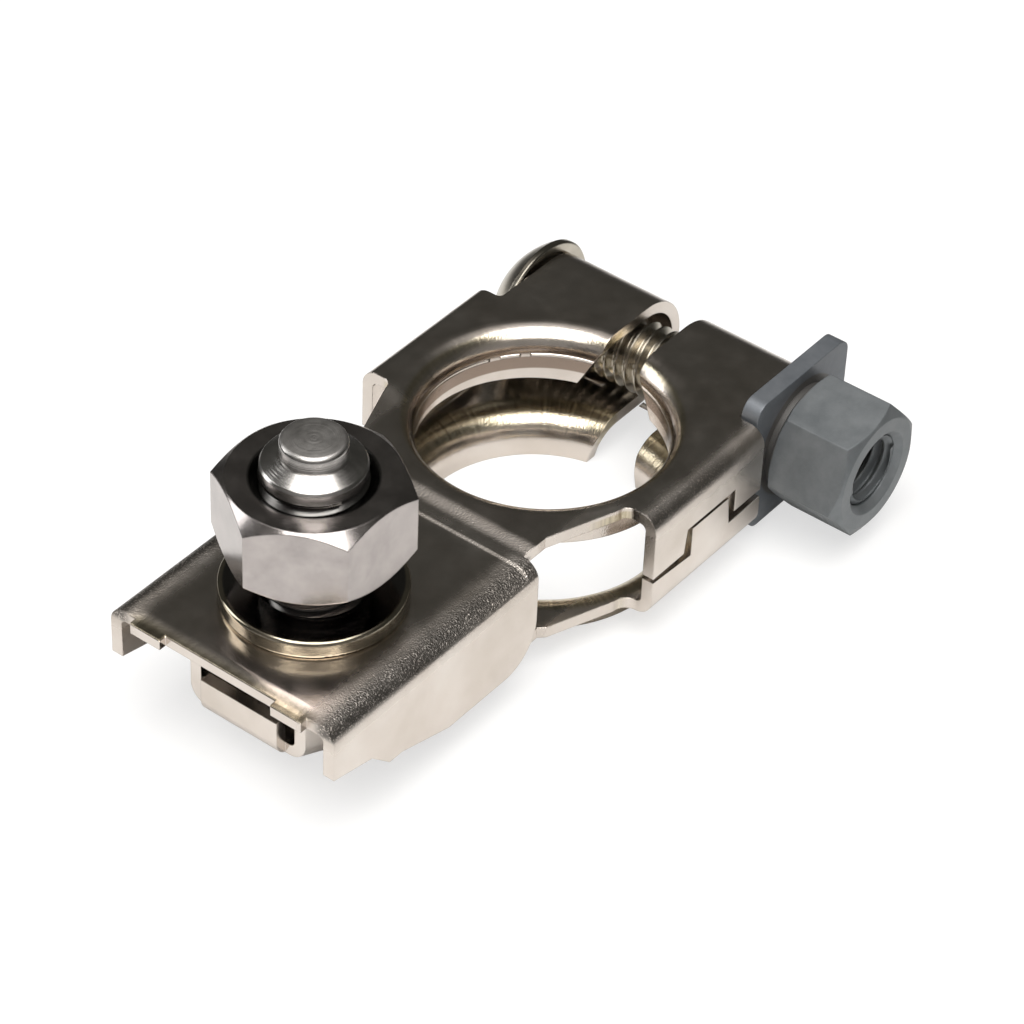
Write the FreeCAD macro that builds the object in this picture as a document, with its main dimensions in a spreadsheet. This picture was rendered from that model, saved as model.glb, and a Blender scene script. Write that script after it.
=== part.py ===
import FreeCAD, Part
import Sketcher
import math
import os
import re

# Battery terminal clamp. One folded and plated sheet grips the battery post, and an M8 stud takes the cable.
# Frame: the post ring's axis is Z and z = 0 is the rim of the lower collar, where the post enters.
# +Y points from the stud to the clamp bolt, and the bolt lies along X. Lengths are millimetres.

doc = FreeCAD.newDocument("battery_terminal_clamp")

# Driving sizes

SIZES = {
    # folded sheet
    "sheet_thickness": 1.0,
    "bend_radius": 1.5,
    "post_radius": 9.9,
    "roll_radius": 2.0,
    "lower_roll_radius": 2.8,
    "upper_collar_depth": 3.95,
    "upper_rim_slope": 0.05,
    "lower_collar_depth": 3.6,
    "fold_radius": 4.8,
    "bolt_place": 15.8,
    # ears
    "ear_half": 14.2,
    "ear_front": 4.5,
    "ear_back": 9.4,
    "barrel_half": 11.6,
    "notch_radius": 0.5,
    "slot_width": 3.7,
    "upper_slot_mouth": 7.2,
    "lower_slot_mouth": 4.9,
    "upper_wall_depth": 5.75,
    "seam_gap": 0.3,
    "seam_open": 0.75,
    "tooth_front": 0.4,
    "tooth_back": 5.0,
    "tooth_height": 1.9,
    "tooth_clearance": 0.7,
    "tooth_slant": 0.3,
    "tooth_slit": 0.95,
    # waist between the ring and the stud plate
    "flare_inset": 2.15,
    "flare_radius": 0.8,
    "waist_half": 9.0,
    "waist_length": 6.8,
    "lower_flare_inset": 1.4,
    "lower_flare_radius": 1.2,
    "lower_waist_half": 9.5,
    "lower_neck_inset": 0.5,
    # stud plate
    "plate_half": 10.5,
    "plate_back": 14.0,
    "plate_front": 37.2,
    "flange_front_depth": 4.6,
    "flange_step_depth": 5.5,
    "flange_mid_depth": 7.35,
    "flange_deep": 8.9,
    "flange_lobe_front": 33.0,
    "flange_lobe_slope": 2.0,
    "flange_lobe_back": 29.6,
    "flange_deep_front": 24.2,
    "flange_tail_radius": 3.6,
    "tab_outer": 8.0,
    "tab_inner": 5.2,
    "tab_length": 0.65,
    # pan under the stud plate
    "sheet_front": 20.6,
    "pan_rise": 1.45,
    "pan_slope": 3.0,
    "pan_half": 5.45,
    "pan_wall_height": 6.2,
    "pan_front": 35.4,
    "lip_half": 3.6,
    "lip_height": 3.5,
    # terminal stud, its disc and nut
    "stud_setback": 10.2,
    "stud_radius": 4.0,
    "stud_head_width": 8.0,
    "stud_head_length": 8.6,
    "stud_head_height": 6.5,
    "stud_shoulder_radius": 5.4,
    "stud_fit": 0.05,
    "stud_hole_clearance": 0.3,
    "stud_height": 14.6,
    "cone_height": 0.6,
    "cone_radius": 2.6,
    "dog_radius": 2.5,
    "dog_height": 1.4,
    "dog_edge": 0.45,
    "disc_radius": 7.0,
    "disc_thickness": 1.5,
    "disc_edge": 0.3,
    "disc_clearance": 0.25,
    "disc_to_nut": 3.1,
    "stud_nut_flats": 13.0,
    "stud_nut_height": 6.6,
    "stud_nut_face_radius": 6.33,
    "stud_nut_chamfer": 40.0,
    "stud_nut_turn": 28.8,
    "stud_nut_sink": 0.6,
    # clamp bolt, its washer and nut
    "bolt_radius": 3.0,
    "bolt_fit": 0.05,
    "bolt_tip": 18.2,
    "bolt_tip_chamfer": 0.5,
    "head_radius": 5.7,
    "head_rim": 0.5,
    "head_height": 3.6,
    "head_gap": 0.3,
    "washer_side": 12.2,
    "washer_thickness": 1.5,
    "washer_corner": 1.3,
    "washer_gap": 0.1,
    "washer_clearance": 0.3,
    "clamp_nut_flats": 10.0,
    "clamp_nut_height": 7.4,
    "clamp_nut_face_radius": 4.75,
    "clamp_nut_chamfer": 30.0,
    "clamp_nut_collar": 0.6,
    "clamp_nut_collar_radius": 4.5,
    "clamp_nut_turn": 10.9,
    "clamp_nut_sink": 0.55,
}

# Places that follow from the driving sizes
DERIVED = {
    "low_face": "lower_collar_depth - sheet_thickness",
    "low_inside": "lower_collar_depth",
    "bolt_height": "low_face + fold_radius",
    "top_face": "low_face + 2 * fold_radius",
    "top_inside": "top_face - sheet_thickness",
    "upper_rim_back": "top_face - upper_collar_depth - upper_rim_slope * post_radius",
    "ear_flat": "ear_half - bend_radius",
    "flare_half": "ear_half - flare_inset",
    "lower_flare_half": "ear_half - lower_flare_inset",
    "plate_flat": "plate_half - bend_radius",
    "stud_place": "plate_front - stud_setback",
    "flange_deep_back": "plate_back + flange_tail_radius",
    "pan_flat": "pan_half - bend_radius",
    "pan_face": "low_face + pan_rise",
    "pan_inside": "pan_face + sheet_thickness",
    "pan_wall_front": "pan_front - sheet_thickness",
    "pan_slope_back": "pan_wall_front - pan_slope",
    "pan_wall_top": "low_face + pan_wall_height",
    "upper_wall_end": "top_face - upper_wall_depth",
    "lower_wall_end": "upper_wall_end - seam_open",
    "tooth_end": "upper_wall_end + tooth_height",
    "stud_nut_place": "top_face + disc_thickness + disc_to_nut",
    "stud_end": "top_face + stud_height",
    "thread_end": "stud_end - dog_height - cone_height",
    "washer_place": "barrel_half + washer_gap",
    "clamp_nut_place": "washer_place + washer_thickness",
}

sheet = doc.addObject("Spreadsheet::Sheet", "Sizes")
ALIASES = list(SIZES) + list(DERIVED)
ALIAS_PATTERN = re.compile(r"\b(" + "|".join(sorted(ALIASES, key=len, reverse=True)) + r")\b")


def fill_sheet():
    for row, (alias, number) in enumerate(SIZES.items(), start=1):
        sheet.set(f"A{row}", alias)
        sheet.set(f"B{row}", str(number))
        sheet.setAlias(f"B{row}", alias)
    for row, (alias, formula) in enumerate(DERIVED.items(), start=len(SIZES) + 1):
        sheet.set(f"A{row}", alias)
        sheet.set(f"B{row}", "=" + formula)
        sheet.setAlias(f"B{row}", alias)
    doc.recompute()


def bound(text):
    """The expression with each alias named as a cell of the sheet."""
    return ALIAS_PATTERN.sub(r"Sizes.\1", text)


def number(text):
    return float(sheet.evalExpression(ALIAS_PATTERN.sub(r"\1", text)))


# Sketches. A corner is (x, y), or (x, y, radius, turn) where the run to the next corner is an arc that
# turns left (+1) or right (-1). Every corner and radius is held by a constraint bound to the sheet.

PLANES = {
    "XY": FreeCAD.Rotation(),
    "XZ": FreeCAD.Rotation(FreeCAD.Vector(1, 0, 0), 90),
    "YZ": FreeCAD.Rotation(FreeCAD.Vector(1, 1, 1), 120),
}


def arc_centre(start, end, radius, turn):
    middle = (start + end) * 0.5
    chord = end - start
    side = FreeCAD.Vector(-chord.y, chord.x, 0).normalize()
    return middle + side * (turn * math.sqrt(max(radius ** 2 - (chord.Length / 2) ** 2, 0)))


def draw(sketch, corners):
    """Draws a closed outline and binds it to the sheet."""
    places = [FreeCAD.Vector(number(corner[0]), number(corner[1]), 0) for corner in corners]
    starts = []
    ends = []
    for index, corner in enumerate(corners):
        start, end = places[index], places[(index + 1) % len(corners)]
        if len(corner) == 2:
            sketch.addGeometry(Part.LineSegment(start, end))
            starts.append(1)
            ends.append(2)
            continue
        turn = corner[3]
        centre = arc_centre(start, end, number(corner[2]), turn)
        first, last = (start, end) if turn > 0 else (end, start)
        first_angle = math.atan2(first.y - centre.y, first.x - centre.x)
        last_angle = math.atan2(last.y - centre.y, last.x - centre.x)
        circle = Part.Circle(centre, FreeCAD.Vector(0, 0, 1), (start - centre).Length)
        sketch.addGeometry(Part.ArcOfCircle(circle, first_angle, last_angle))
        starts.append(1 if turn > 0 else 2)
        ends.append(2 if turn > 0 else 1)
    for index, corner in enumerate(corners):
        following = (index + 1) % len(corners)
        meet = Sketcher.Constraint("Coincident", index, ends[index], following, starts[following])
        sketch.addConstraint(meet)
        for kind, text in zip(("DistanceX", "DistanceY"), corner):
            held = Sketcher.Constraint(kind, -1, 1, index, starts[index], number(text))
            sketch.setExpression(f"Constraints[{sketch.addConstraint(held)}]", bound(text))
        if len(corner) == 4:
            held = Sketcher.Constraint("Radius", index, number(corner[2]))
            sketch.setExpression(f"Constraints[{sketch.addConstraint(held)}]", bound(corner[2]))
    return sketch


def mirrored(right):
    """A closed outline from its right half, listed from the back to the front."""
    left = []
    for index in range(len(right) - 1, -1, -1):
        x, y = f"-({right[index][0]})", right[index][1]
        before = right[index - 1]
        if index and len(before) == 4:
            left.append((x, y, before[2], before[3]))
        else:
            left.append((x, y))
    return right + left


# Part objects for the folded sheet

def outline(name, plane, corners, place):
    """A sketch that lies parallel to a plane, at place along its normal."""
    sketch = doc.addObject("Sketcher::SketchObject", name + "_outline")
    sketch.Placement = FreeCAD.Placement(FreeCAD.Vector(), PLANES[plane])
    axis = {"XY": "z", "XZ": "y", "YZ": "x"}[plane]
    sketch.setExpression(f"Placement.Base.{axis}", bound(place))
    return draw(sketch, corners)


def prism(name, plane, corners, place, length, middle=False):
    """A straight solid on an outline. It runs along the plane's normal from place, or to both sides of it."""
    solid = doc.addObject("Part::Extrusion", name)
    solid.Base = outline(name, plane, corners, place)
    solid.DirMode = "Normal"
    solid.Solid = True
    solid.Symmetric = middle
    solid.setExpression("LengthFwd", bound(length))
    return solid


def joined(name, pieces):
    fuse = doc.addObject("Part::MultiFuse", name)
    fuse.Shapes = pieces
    fuse.Refine = True
    return fuse


def cut(name, base, tool):
    result = doc.addObject("Part::Cut", name)
    result.Base = base
    result.Tool = tool
    result.Refine = True
    return result


def channel_profile(half, face, inside, end, flat, rise):
    """Section of a sheet with both edges bent: rise is + for walls that go up and - for walls that go down."""
    inner = f"({half} - sheet_thickness)"
    tangent = f"({face} {rise} bend_radius)"
    bend = "bend_radius - sheet_thickness"
    out, back = (1, -1) if rise == "-" else (-1, 1)
    return [
        (half, end), (half, tangent, "bend_radius", out),
        (flat, face), (f"-({flat})", face, "bend_radius", out),
        (f"-({half})", tangent), (f"-({half})", end),
        (f"-{inner}", end), (f"-{inner}", tangent, bend, back),
        (f"-({flat})", inside), (flat, inside, bend, back),
        (inner, tangent), (inner, end),
    ]


def ears():
    """The two folded ears: walls bent down from the top sheet and up from the bottom sheet."""
    length = "ear_front + ear_back"
    upper = prism("upper_ears", "XZ", channel_profile("ear_half", "top_face", "top_inside",
                  "upper_wall_end", "ear_flat", "-"), "ear_back", length)
    lower = prism("lower_ears", "XZ", channel_profile("ear_half", "low_face", "low_inside",
                  "tooth_end", "ear_flat", "+"), "ear_back", length)
    wide = "4 * ear_half"
    notch_end = "tooth_end + seam_gap"
    notch = prism("seam_notch", "YZ", [
        ("tooth_front - tooth_clearance - tooth_slant", "upper_wall_end - 1"),
        ("tooth_back + tooth_slit", "upper_wall_end - 1"), ("tooth_back + tooth_slit", notch_end),
        ("tooth_front - tooth_clearance", notch_end),
        ("tooth_front - tooth_clearance - tooth_slant", "upper_wall_end")], "0", wide, middle=True)
    front_step = prism("seam_front_step", "YZ", [
        ("-ear_front - 1", "upper_wall_end - seam_gap"), ("tooth_front", "lower_wall_end"),
        ("tooth_front", "tooth_end + 1"), ("-ear_front - 1", "tooth_end + 1")], "0", wide, middle=True)
    back_step = prism("seam_back_step", "YZ", [
        ("tooth_back", "tooth_end + 1"), ("tooth_back", "tooth_end"),
        ("tooth_back + tooth_slant", "lower_wall_end"),
        ("ear_back + 1", "lower_wall_end"), ("ear_back + 1", "tooth_end + 1")], "0", wide, middle=True)
    steps = joined("seam_steps", [front_step, back_step])
    return [cut("upper_ear_walls", upper, notch), cut("lower_ear_walls", lower, steps)]


def waist(flare, radius, half):
    """Right edge of a sheet from the barrel to the stud plate."""
    return [
        ("barrel_half", "bolt_place"), ("barrel_half", "ear_back + notch_radius", "notch_radius", 1),
        ("barrel_half + notch_radius", "ear_back"), ("ear_flat", "ear_back"),
        ("ear_flat", "-ear_front"), (flare, "-ear_front", radius, 1),
        (f"{flare} - {radius}", f"-ear_front - {radius}"), (half, "-ear_front - waist_length"),
    ]


def top_sheet():
    """Flat of the top sheet: ears, waist and stud plate with two tabs at its front edge."""
    right = waist("flare_half", "flare_radius", "waist_half") + [
        ("plate_flat", "-plate_back"), ("plate_flat", "-plate_front"),
        ("tab_outer", "-plate_front"), ("tab_outer", "-plate_front - tab_length"),
        ("tab_inner", "-plate_front - tab_length"), ("tab_inner", "-plate_front"),
    ]
    return prism("top_flat", "XY", mirrored(right), "top_inside", "sheet_thickness")


def stud_plate_flanges():
    """Walls of the stud plate. Their lower edge steps down in a small lobe and is rounded up at the back."""
    walls = prism("plate_channel", "XZ", channel_profile("plate_half", "top_face", "top_inside",
                  "top_face - flange_deep", "plate_flat", "-"), "-plate_back", "plate_front - plate_back")
    below = prism("flange_edge", "YZ", [
        ("-plate_front - 1", "0"), ("-plate_front - 1", "top_face - flange_front_depth"),
        ("-plate_front", "top_face - flange_front_depth"),
        ("-flange_lobe_front", "top_face - flange_step_depth"),
        ("-flange_lobe_front + flange_lobe_slope", "top_face - flange_mid_depth"),
        ("-flange_lobe_back", "top_face - flange_mid_depth"),
        ("-flange_deep_front", "top_face - flange_deep"),
        ("-flange_deep_back", "top_face - flange_deep", "flange_tail_radius", 1),
        ("-plate_back", "top_face - flange_deep + flange_tail_radius"),
        ("-plate_back + 1", "top_face - flange_deep + flange_tail_radius"), ("-plate_back + 1", "0")],
        "0", "4 * plate_half", middle=True)
    return cut("plate_walls", walls, below)


def barrels():
    """Half-round folds that join the top sheet to the bottom sheet."""
    inner = "(fold_radius - sheet_thickness)"
    return prism("barrels", "YZ", [
        ("bolt_place", "low_face", "fold_radius", 1),
        ("bolt_place + fold_radius", "bolt_height", "fold_radius", 1),
        ("bolt_place", "top_face"), ("bolt_place", "top_inside", inner, -1),
        ("bolt_place + " + inner, "bolt_height", inner, -1), ("bolt_place", "low_inside")],
        "0", "2 * barrel_half", middle=True)


def bottom_sheet():
    """Flat of the bottom sheet, which runs in between the plate's walls."""
    neck = "(lower_waist_half - lower_neck_inset)"
    right = waist("lower_flare_half", "lower_flare_radius", "lower_waist_half") + [
        (neck, "-ear_front - waist_length - lower_neck_inset"), (neck, "-sheet_front")]
    return prism("bottom_flat", "XY", mirrored(right), "low_face", "sheet_thickness")


def pan():
    """Pan at the front of the bottom sheet, around the stud's head. Its floor slopes up to a bent lip."""
    low = channel_profile("pan_half", "low_face", "low_inside", "pan_wall_top", "pan_flat", "+")
    raised = channel_profile("pan_half", "pan_face", "pan_inside", "pan_wall_top", "pan_flat", "+")
    sides = prism("pan_sides", "XZ", low, "-sheet_front", "pan_slope_back - sheet_front")
    slope = doc.addObject("Part::Loft", "pan_front")
    slope.Sections = [outline("pan_slope_start", "XZ", low, "-pan_slope_back"),
                      outline("pan_slope_end", "XZ", raised, "-pan_wall_front")]
    slope.Solid = True
    slope.Ruled = True
    lip = prism("pan_lip", "YZ", [
        ("-pan_front + bend_radius", "pan_inside", "bend_radius - sheet_thickness", -1),
        ("-pan_front + sheet_thickness", "pan_face + bend_radius"),
        ("-pan_front + sheet_thickness", "pan_face + lip_height"), ("-pan_front", "pan_face + lip_height"),
        ("-pan_front", "pan_face + bend_radius", "bend_radius", 1),
        ("-pan_front + bend_radius", "pan_face")], "0", "2 * lip_half", middle=True)
    return [sides, slope, lip]


def collar(name, face, depth, roll):
    """Ring rolled down out of a sheet."""
    sketch = doc.addObject("Sketcher::SketchObject", name + "_outline")
    sketch.Placement = FreeCAD.Placement(FreeCAD.Vector(), PLANES["XZ"])
    centre = f"{face} - {roll}"
    draw(sketch, [
        ("post_radius", f"{face} - {depth}"), ("post_radius + sheet_thickness", f"{face} - {depth}"),
        ("post_radius + sheet_thickness", centre, f"{roll} - sheet_thickness", -1),
        (f"post_radius + {roll}", f"{face} - sheet_thickness"),
        (f"post_radius + {roll}", face, roll, 1), ("post_radius", centre)])
    ring = doc.addObject("Part::Revolution", name)
    ring.Source = sketch
    ring.Axis = FreeCAD.Vector(0, 0, 1)
    ring.Angle = 360
    ring.Solid = True
    return ring


def upper_collar():
    """The top sheet's collar. Its rim rises a little towards the stud."""
    depth = "(top_face - upper_rim_back + sheet_thickness)"
    ring = collar("upper_collar_ring", "top_face", depth, "roll_radius")
    far = "(2 * post_radius)"
    rim = "top_face - upper_collar_depth"
    below = prism("upper_rim", "YZ", [
        (f"-{far}", "0"), (far, "0"), (far, f"{rim} - upper_rim_slope * {far}"),
        (f"-{far}", f"{rim} + upper_rim_slope * {far}")], "0", "2 * " + far, middle=True)
    return cut("upper_collar", ring, below)


def cylinder(name, radius, length, place):
    solid = doc.addObject("Part::Cylinder", name)
    solid.setExpression("Radius", bound(radius))
    solid.setExpression("Height", bound(length))
    for axis, text in zip("xyz", place):
        solid.setExpression(f"Placement.Base.{axis}", bound(text))
    return solid


def slot():
    """The slot between the ears, wider at the rims of the two collars."""
    through = prism("slot", "XY", mirrored([("slot_width / 2", "bolt_place + fold_radius + 1"),
                    ("slot_width / 2", "post_radius / 2")]), "-1", "top_face + 2")
    mouths = []
    for name, top, rim, mouth in (("upper", "top_inside", "upper_rim_back", "upper_slot_mouth"),
                                  ("lower", "low_face", "0", "lower_slot_mouth")):
        corners = [("slot_width / 2", top), (f"{mouth} / 2", f"{rim} - 0.01"),
                   (f"-{mouth} / 2", f"{rim} - 0.01"), ("-slot_width / 2", top)]
        mouths.append(prism(name + "_slot_mouth", "XZ", corners,
                            "post_radius + lower_roll_radius", "post_radius / 2"))
    return [through] + mouths


def clamp_body():
    sheets = joined("sheets", [top_sheet(), bottom_sheet(), barrels(), stud_plate_flanges()] + ears() + pan())
    upper_hole = cylinder("upper_hole", "post_radius + roll_radius", "top_face", ("0", "0", "bolt_height"))
    lower_hole = cylinder("lower_hole", "post_radius + lower_roll_radius", "bolt_height + 1", ("0", "0", "-1"))
    folded = joined("folded_sheet", [
        cut("open_ring", sheets, joined("ring_holes", [upper_hole, lower_hole])),
        upper_collar(),
        collar("lower_collar", "low_inside", "lower_collar_depth", "lower_roll_radius")])
    stud_hole = cylinder("stud_hole", "stud_radius + stud_hole_clearance", "2 * sheet_thickness",
                         ("0", "-stud_place", "top_inside - sheet_thickness / 2"))
    return cut("clamp_body", folded, joined("openings", slot() + [stud_hole]))


# PartDesign bodies for the turned parts, the washer and the nuts

def body_sketch(body, role, name, corners):
    sketch = body.newObject("Sketcher::SketchObject", name)
    plane = next(feature for feature in body.Origin.OriginFeatures if feature.Role == role)
    sketch.AttachmentSupport = (plane, [""])
    sketch.MapMode = "FlatFace"
    return draw(sketch, corners)


def turn(body, kind, name, corners):
    """Revolution or Groove about the body's Z axis, on a half section of (radius, height) corners."""
    feature = body.newObject(kind, name)
    sketch = body_sketch(body, "XZ_Plane", name + "_section", corners)
    feature.Profile = sketch
    feature.ReferenceAxis = (sketch, ["V_Axis"])
    feature.Angle = 360
    body.Tip = feature
    return feature


def pad(body, name, corners, length):
    """Pad along +Z from the body's own XY plane."""
    feature = body.newObject("PartDesign::Pad", name)
    feature.Profile = body_sketch(body, "XY_Plane", name + "_outline", corners)
    feature.setExpression("Length", bound(length))
    body.Tip = feature
    return feature


def new_body(label):
    body = doc.addObject("PartDesign::Body", label)
    body.Label = label
    return body


def place(body, position, rotation=FreeCAD.Rotation()):
    body.Placement = FreeCAD.Placement(FreeCAD.Vector(), rotation)
    for axis, text in zip("xyz", position):
        body.setExpression(f"Placement.Base.{axis}", bound(text))
    return body


def terminal_stud():
    """M8 stud from its bar head up. Its body stands on the floor of the pan."""
    body = new_body("terminal_stud")
    side, front = "stud_head_width / 2", "stud_head_length / 2"
    pad(body, "bar_head", mirrored([(side, front), (side, f"-{front}")]), "stud_head_height")
    top = "top_inside - low_inside"
    thread = "thread_end - low_inside"
    turn(body, "PartDesign::Revolution", "shank", [
        ("0", "stud_head_height / 2"), ("stud_head_width / 2 - 0.2", "stud_head_height / 2"),
        ("stud_head_width / 2 - 0.2", "stud_head_height"), ("stud_shoulder_radius", "stud_head_height"),
        ("stud_shoulder_radius", top), ("stud_radius", top), ("stud_radius", f"{thread} - 0.25"),
        ("stud_radius - 0.25", thread), ("cone_radius", f"{thread} + cone_height"),
        ("dog_radius", f"{thread} + cone_height"),
        ("dog_radius", f"{thread} + cone_height + dog_height - dog_edge", "dog_edge", 1),
        ("dog_radius - dog_edge", f"{thread} + cone_height + dog_height"),
        ("0", f"{thread} + cone_height + dog_height")])
    return place(body, ("0", "-stud_place", "low_inside"))


def stud_washer():
    """Turned disc on the stud plate."""
    body = new_body("stud_washer")
    turn(body, "PartDesign::Revolution", "disc", [
        ("stud_radius + disc_clearance", "0"), ("disc_radius - disc_edge", "0", "disc_edge", 1),
        ("disc_radius", "disc_edge"), ("disc_radius", "disc_thickness - disc_edge", "disc_edge", 1),
        ("disc_radius - disc_edge", "disc_thickness"), ("stud_radius + disc_clearance", "disc_thickness")])
    return place(body, ("0", "-stud_place", "top_face"))


def hexagon(flats):
    """Corners of a hexagon, the first on +X."""
    return [(f"{flats} / sqrt(3) * cos({60 * corner} deg)", f"{flats} / sqrt(3) * sin({60 * corner} deg)")
            for corner in range(6)]


def hexagon_nut(label, bore, collar_height="0", collar_radius="0"):
    """Nut from its bearing face up, with its corners chamfered and its bore countersunk at both ends."""
    flats, height, sink, circle = f"{label}_flats", f"{label}_height", f"{label}_sink", f"{label}_face_radius"
    body = new_body(label)
    pad(body, label + "_hexagon", hexagon(flats), height)
    outside = f"{flats} * 0.65"
    drop = f"({outside} - {circle}) * tan({label}_chamfer * 1 deg)"
    turn(body, "PartDesign::Groove", label + "_top_chamfer", [
        (circle, height), (outside, f"{height} - {drop}"),
        (outside, f"{height} + 1"), (circle, f"{height} + 1")])
    start = f"({collar_height})"
    corners = [(circle, start), (circle, "-1"), (outside, "-1"), (outside, f"{start} + {drop}")]
    if collar_height != "0":
        corners = [(circle, start), (collar_radius, start), (collar_radius, "-1"), (outside, "-1"),
                   (outside, f"{start} + {drop}")]
    turn(body, "PartDesign::Groove", label + "_base_chamfer", corners)
    turn(body, "PartDesign::Groove", label + "_bore", [
        ("0", "-1"), (f"{bore} + {sink}", "-1"), (f"{bore} + {sink}", "0"), (bore, sink),
        (bore, f"{height} - {sink}"), (f"{bore} + {sink}", height), (f"{bore} + {sink}", f"{height} + 1"),
        ("0", f"{height} + 1")])
    return body


def stud_nut():
    body = hexagon_nut("stud_nut", "(stud_radius + stud_fit)")
    turned = FreeCAD.Rotation(FreeCAD.Vector(0, 0, 1), SIZES["stud_nut_turn"])
    return place(body, ("0", "-stud_place", "stud_nut_place"), turned)


def along_bolt(turned=0.0):
    """Rotation that lays a body's Z axis along +X and its X axis along +Y, turned about the bolt."""
    return FreeCAD.Rotation(FreeCAD.Vector(1, 1, 1), 120).multiply(
        FreeCAD.Rotation(FreeCAD.Vector(0, 0, 1), turned))


def clamp_bolt():
    """M6 bolt. Its body starts at the underside of the domed head."""
    body = new_body("clamp_bolt")
    length = "barrel_half + head_gap + bolt_tip"
    dome = "(head_radius ^ 2 + (head_height - head_rim) ^ 2) / (2 * (head_height - head_rim))"
    turn(body, "PartDesign::Revolution", "domed_head", [
        ("0", "-head_height", dome, 1), ("head_radius", "-head_rim"), ("head_radius", "0"),
        ("bolt_radius", "0"), ("bolt_radius", f"{length} - bolt_tip_chamfer"),
        ("bolt_radius - bolt_tip_chamfer", length), ("0", length)])
    return place(body, ("-barrel_half - head_gap", "bolt_place", "bolt_height"), along_bolt())


def clamp_washer():
    """Square washer with rounded corners."""
    body = new_body("clamp_washer")
    side, flat = "washer_side / 2", "(washer_side / 2 - washer_corner)"
    pad(body, "square", [
        (side, f"-{flat}"), (side, flat, "washer_corner", 1),
        (flat, side), (f"-{flat}", side, "washer_corner", 1),
        (f"-{side}", flat), (f"-{side}", f"-{flat}", "washer_corner", 1),
        (f"-{flat}", f"-{side}"), (flat, f"-{side}", "washer_corner", 1)], "washer_thickness")
    turn(body, "PartDesign::Groove", "washer_hole", [
        ("0", "-1"), ("bolt_radius + washer_clearance", "-1"),
        ("bolt_radius + washer_clearance", "washer_thickness + 1"), ("0", "washer_thickness + 1")])
    return place(body, ("washer_place", "bolt_place", "bolt_height"), along_bolt())


def clamp_nut():
    body = hexagon_nut("clamp_nut", "(bolt_radius + bolt_fit)", "clamp_nut_collar", "clamp_nut_collar_radius")
    return place(body, ("clamp_nut_place", "bolt_place", "bolt_height"), along_bolt(SIZES["clamp_nut_turn"]))


def check(parts):
    """Stops where an object failed or a sub-part has no sound shape."""
    for item in doc.Objects:
        if "Invalid" in item.State or "Error" in item.State:
            raise RuntimeError(f"{item.Name} failed: {item.State}")
    for part in parts:
        if part.Shape.isNull() or not part.Shape.isValid() or len(part.Shape.Solids) != 1:
            raise RuntimeError(f"{part.Label} is not one sound solid")


def main():
    fill_sheet()
    makers = (clamp_body, terminal_stud, stud_washer, stud_nut, clamp_bolt, clamp_washer, clamp_nut)
    parts = [make() for make in makers]
    doc.recompute()
    check(parts)
    os.makedirs("parts", exist_ok=True)
    for part in parts:
        part.Shape.exportStep(f"parts/{part.Label}.step")
        print(part.Label, "volume", round(part.Shape.Volume, 2))


main()
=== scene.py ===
import math

import bpy
from mathutils import Matrix, Vector


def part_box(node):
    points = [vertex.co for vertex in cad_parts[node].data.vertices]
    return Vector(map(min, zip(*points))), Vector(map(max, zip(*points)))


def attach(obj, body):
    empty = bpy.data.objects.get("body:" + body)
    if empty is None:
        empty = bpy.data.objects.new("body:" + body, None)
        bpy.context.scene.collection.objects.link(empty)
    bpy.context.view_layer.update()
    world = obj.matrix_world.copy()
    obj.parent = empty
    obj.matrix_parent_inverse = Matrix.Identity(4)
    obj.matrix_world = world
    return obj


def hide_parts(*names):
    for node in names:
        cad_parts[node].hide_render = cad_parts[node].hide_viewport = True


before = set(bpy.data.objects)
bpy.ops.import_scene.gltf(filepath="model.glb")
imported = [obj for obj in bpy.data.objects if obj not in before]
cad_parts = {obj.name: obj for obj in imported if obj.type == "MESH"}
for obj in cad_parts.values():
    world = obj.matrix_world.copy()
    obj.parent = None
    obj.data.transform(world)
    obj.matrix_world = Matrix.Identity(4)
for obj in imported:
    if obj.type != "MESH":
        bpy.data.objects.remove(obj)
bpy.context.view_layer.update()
MM = 0.001


# The camera, at the photograph's viewing angle

CAMERA_PLACE = Vector((0.134709, -0.185316, 0.198002))
CAMERA_AZIMUTH = math.radians(36.531)
CAMERA_ELEVATION = math.radians(40.514)
CAMERA_ROLL = math.radians(2.502)
CAMERA_LENS = 135.657
SENSOR = 36.0


def add_camera():
    azimuth, elevation = CAMERA_AZIMUTH, CAMERA_ELEVATION
    right = Vector((math.cos(azimuth), math.sin(azimuth), 0))
    up = Vector((-math.sin(azimuth) * math.sin(elevation), math.cos(azimuth) * math.sin(elevation),
                 math.cos(elevation)))
    back = right.cross(up)
    roll = Matrix.Rotation(CAMERA_ROLL, 3, back)
    axes = Matrix((roll @ right, roll @ up, back)).transposed().to_4x4()
    data = bpy.data.cameras.new("camera")
    data.lens = CAMERA_LENS
    data.sensor_width = SENSOR
    data.clip_start = 0.01
    data.clip_end = 20.0
    eye = bpy.data.objects.new("camera", data)
    bpy.context.scene.collection.objects.link(eye)
    eye.matrix_world = Matrix.Translation(CAMERA_PLACE) @ axes
    bpy.context.scene.camera = eye


# Small helpers for node trees

def new_material(name):
    material = bpy.data.materials.new(name)
    material.use_nodes = True
    material.node_tree.nodes.clear()
    return material, material.node_tree


def node(tree, kind, inputs=None, **settings):
    """A node of that kind. An input is a number, a colour or another node's output."""
    made = tree.nodes.new(kind)
    for key, value in settings.items():
        setattr(made, key, value)
    for socket, value in (inputs or {}).items():
        if isinstance(value, bpy.types.NodeSocket):
            tree.links.new(value, made.inputs[socket])
        elif isinstance(value, tuple) and len(value) == 3 and made.inputs[socket].type == "RGBA":
            made.inputs[socket].default_value = (*value, 1)
        else:
            made.inputs[socket].default_value = value
    return made


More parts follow.
